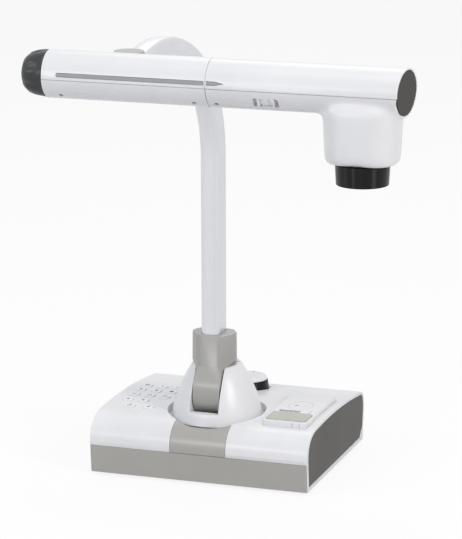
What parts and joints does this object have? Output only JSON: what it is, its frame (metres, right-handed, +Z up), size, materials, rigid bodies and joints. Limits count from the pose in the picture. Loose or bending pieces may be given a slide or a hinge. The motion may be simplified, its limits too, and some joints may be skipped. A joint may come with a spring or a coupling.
{
  "type": "document camera",
  "caption": "Desktop document camera: weighted base with keys and dial, swivelling dome, bent arm on a hinge, and a tubular head whose lens half turns and rolls.",
  "frame": {"origin": "under the middle of the whole outline, on the surface the feet stand on", "axes": "+Z up, +X to the right along the long front edge of the base, +Y away from the side the arm leans to"},
  "size_m": [0.3544, 0.3884, 0.4328],
  "materials": {
    "white": "satin white moulded plastic",
    "grey": "warm grey moulded plastic, fine texture",
    "panel": "dark grey gloss plate",
    "rubber": "dark grey rubber",
    "black": "gloss black",
    "silver": "satin anodised aluminium",
    "steel": "plain steel",
    "stripe": "grey inlay",
    "board": "circuit board",
    "glass": "coated optical glass",
    "key": "white key caps",
    "window": "greenish grey key cap"
  },
  "bodies": {
    "base": {"base_cover": "white", "front_trim": "grey", "side_panel_right": "panel", "side_panel_left": "panel", "base_tray": "grey", "rear_panel": "black", "foot_front_left": "rubber", "foot_front_right": "rubber", "foot_rear_left": "rubber", "foot_rear_right": "rubber", "ballast_plate": "steel", "main_board": "board", "keypad_board": "board", "keypad_mat": "rubber", "dial_encoder": "black", "control_pod": "white", "swivel_bearing": "steel"},
    "key_01_body": {"key_01": "key"},
    "key_02_body": {"key_02": "key"},
    "key_03_body": {"key_03": "key"},
    "key_04_body": {"key_04": "key"},
    "key_05_body": {"key_05": "key"},
    "key_06_body": {"key_06": "key"},
    "key_07_body": {"key_07": "key"},
    "key_08_body": {"key_08": "key"},
    "key_09_body": {"key_09": "key"},
    "key_10_body": {"key_10": "key"},
    "key_11_body": {"key_11": "key"},
    "key_12_body": {"key_12": "key"},
    "key_13_body": {"key_13": "key"},
    "dial_body": {"dial": "rubber"},
    "pod_key_body": {"pod_key": "window"},
    "dome_body": {"pivot_dome": "white", "swivel_nut": "steel", "hinge_pin": "steel", "friction_washer_left": "steel", "friction_washer_right": "steel"},
    "arm_body": {"arm_sleeve": "grey", "arm_bar": "silver", "arm_fork": "grey", "head_pin": "steel"},
    "head_body": {"head_knuckle": "grey", "rear_tube_upper": "white", "rear_tube_lower": "white", "stripe_inlay": "stripe", "rear_screw_left": "steel", "rear_screw_right": "steel", "roll_sleeve": "steel"},
    "knob_body": {"end_knob": "rubber", "knob_shaft": "steel"},
    "lens_body": {"front_tube_upper": "white", "front_tube_lower": "white", "stripe_tip": "stripe", "front_screw": "steel", "end_disc": "panel", "lens_barrel": "black", "front_glass": "glass", "lens_group": "black", "sensor_board": "board"},
    "slider_body": {"head_slider": "white"}
  },
  "joints": [
    {"name": "dome_swivel", "type": "hinge", "parent": "base", "child": "dome_body", "pos_m": [-0.07123, 0.06619, 0.0526], "axis": [0, 0, 1], "range_deg": [-90, 90]},
    {"name": "arm_tilt", "type": "hinge", "parent": "dome_body", "child": "arm_body", "pos_m": [-0.07123, 0.05819, 0.082], "axis": [1, 0, 0], "range_deg": [0, 50]},
    {"name": "head_turn", "type": "hinge", "parent": "arm_body", "child": "head_body", "pos_m": [-0.07123, -0.15479, 0.41496], "axis": [0, 0, 1], "range_deg": [-30, 30]},
    {"name": "head_roll", "type": "hinge", "parent": "head_body", "child": "lens_body", "pos_m": [0.00837, -0.17079, 0.41197], "axis": [1, 0, 0], "range_deg": [-90, 90]},
    {"name": "knob_turn", "type": "hinge", "parent": "head_body", "child": "knob_body", "pos_m": [-0.13623, -0.17079, 0.41197], "axis": [1, 0, 0], "continuous": true},
    {"name": "slider_slide", "type": "slide", "parent": "lens_body", "child": "slider_body", "axis": [1, 0, 0], "range_m": [-0.0022, 0.0022]},
    {"name": "dial_turn", "type": "hinge", "parent": "base", "child": "dial_body", "pos_m": [-0.07123, 0.15969, 0.06], "axis": [0, 0, 1], "continuous": true},
    {"name": "pod_key_press", "type": "slide", "parent": "base", "child": "pod_key_body", "axis": [0, 0, -1], "range_m": [0, 0.001], "stiffness_N_per_m": 400, "springref_m": -0.002},
    {"name": "key_01_press", "type": "slide", "parent": "base", "child": "key_01_body", "axis": [0, 0, -1], "range_m": [0, 0.001], "stiffness_N_per_m": 300, "springref_m": -0.002},
    {"name": "key_02_press", "type": "slide", "parent": "base", "child": "key_02_body", "axis": [0, 0, -1], "range_m": [0, 0.001], "stiffness_N_per_m": 300, "springref_m": -0.002},
    {"name": "key_03_press", "type": "slide", "parent": "base", "child": "key_03_body", "axis": [0, 0, -1], "range_m": [0, 0.001], "stiffness_N_per_m": 300, "springref_m": -0.002},
    {"name": "key_04_press", "type": "slide", "parent": "base", "child": "key_04_body", "axis": [0, 0, -1], "range_m": [0, 0.001], "stiffness_N_per_m": 300, "springref_m": -0.002},
    {"name": "key_05_press", "type": "slide", "parent": "base", "child": "key_05_body", "axis": [0, 0, -1], "range_m": [0, 0.001], "stiffness_N_per_m": 300, "springref_m": -0.002},
    {"name": "key_06_press", "type": "slide", "parent": "base", "child": "key_06_body", "axis": [0, 0, -1], "range_m": [0, 0.001], "stiffness_N_per_m": 300, "springref_m": -0.002},
    {"name": "key_07_press", "type": "slide", "parent": "base", "child": "key_07_body", "axis": [0, 0, -1], "range_m": [0, 0.001], "stiffness_N_per_m": 300, "springref_m": -0.002},
    {"name": "key_08_press", "type": "slide", "parent": "base", "child": "key_08_body", "axis": [0, 0, -1], "range_m": [0, 0.001], "stiffness_N_per_m": 300, "springref_m": -0.002},
    {"name": "key_09_press", "type": "slide", "parent": "base", "child": "key_09_body", "axis": [0, 0, -1], "range_m": [0, 0.001], "stiffness_N_per_m": 300, "springref_m": -0.002},
    {"name": "key_10_press", "type": "slide", "parent": "base", "child": "key_10_body", "axis": [0, 0, -1], "range_m": [0, 0.001], "stiffness_N_per_m": 300, "springref_m": -0.002},
    {"name": "key_11_press", "type": "slide", "parent": "base", "child": "key_11_body", "axis": [0, 0, -1], "range_m": [0, 0.001], "stiffness_N_per_m": 300, "springref_m": -0.002},
    {"name": "key_12_press", "type": "slide", "parent": "base", "child": "key_12_body", "axis": [0, 0, -1], "range_m": [0, 0.001], "stiffness_N_per_m": 300, "springref_m": -0.002},
    {"name": "key_13_press", "type": "slide", "parent": "base", "child": "key_13_body", "axis": [0, 0, -1], "range_m": [0, 0.001], "stiffness_N_per_m": 300, "springref_m": -0.002}
  ]
}
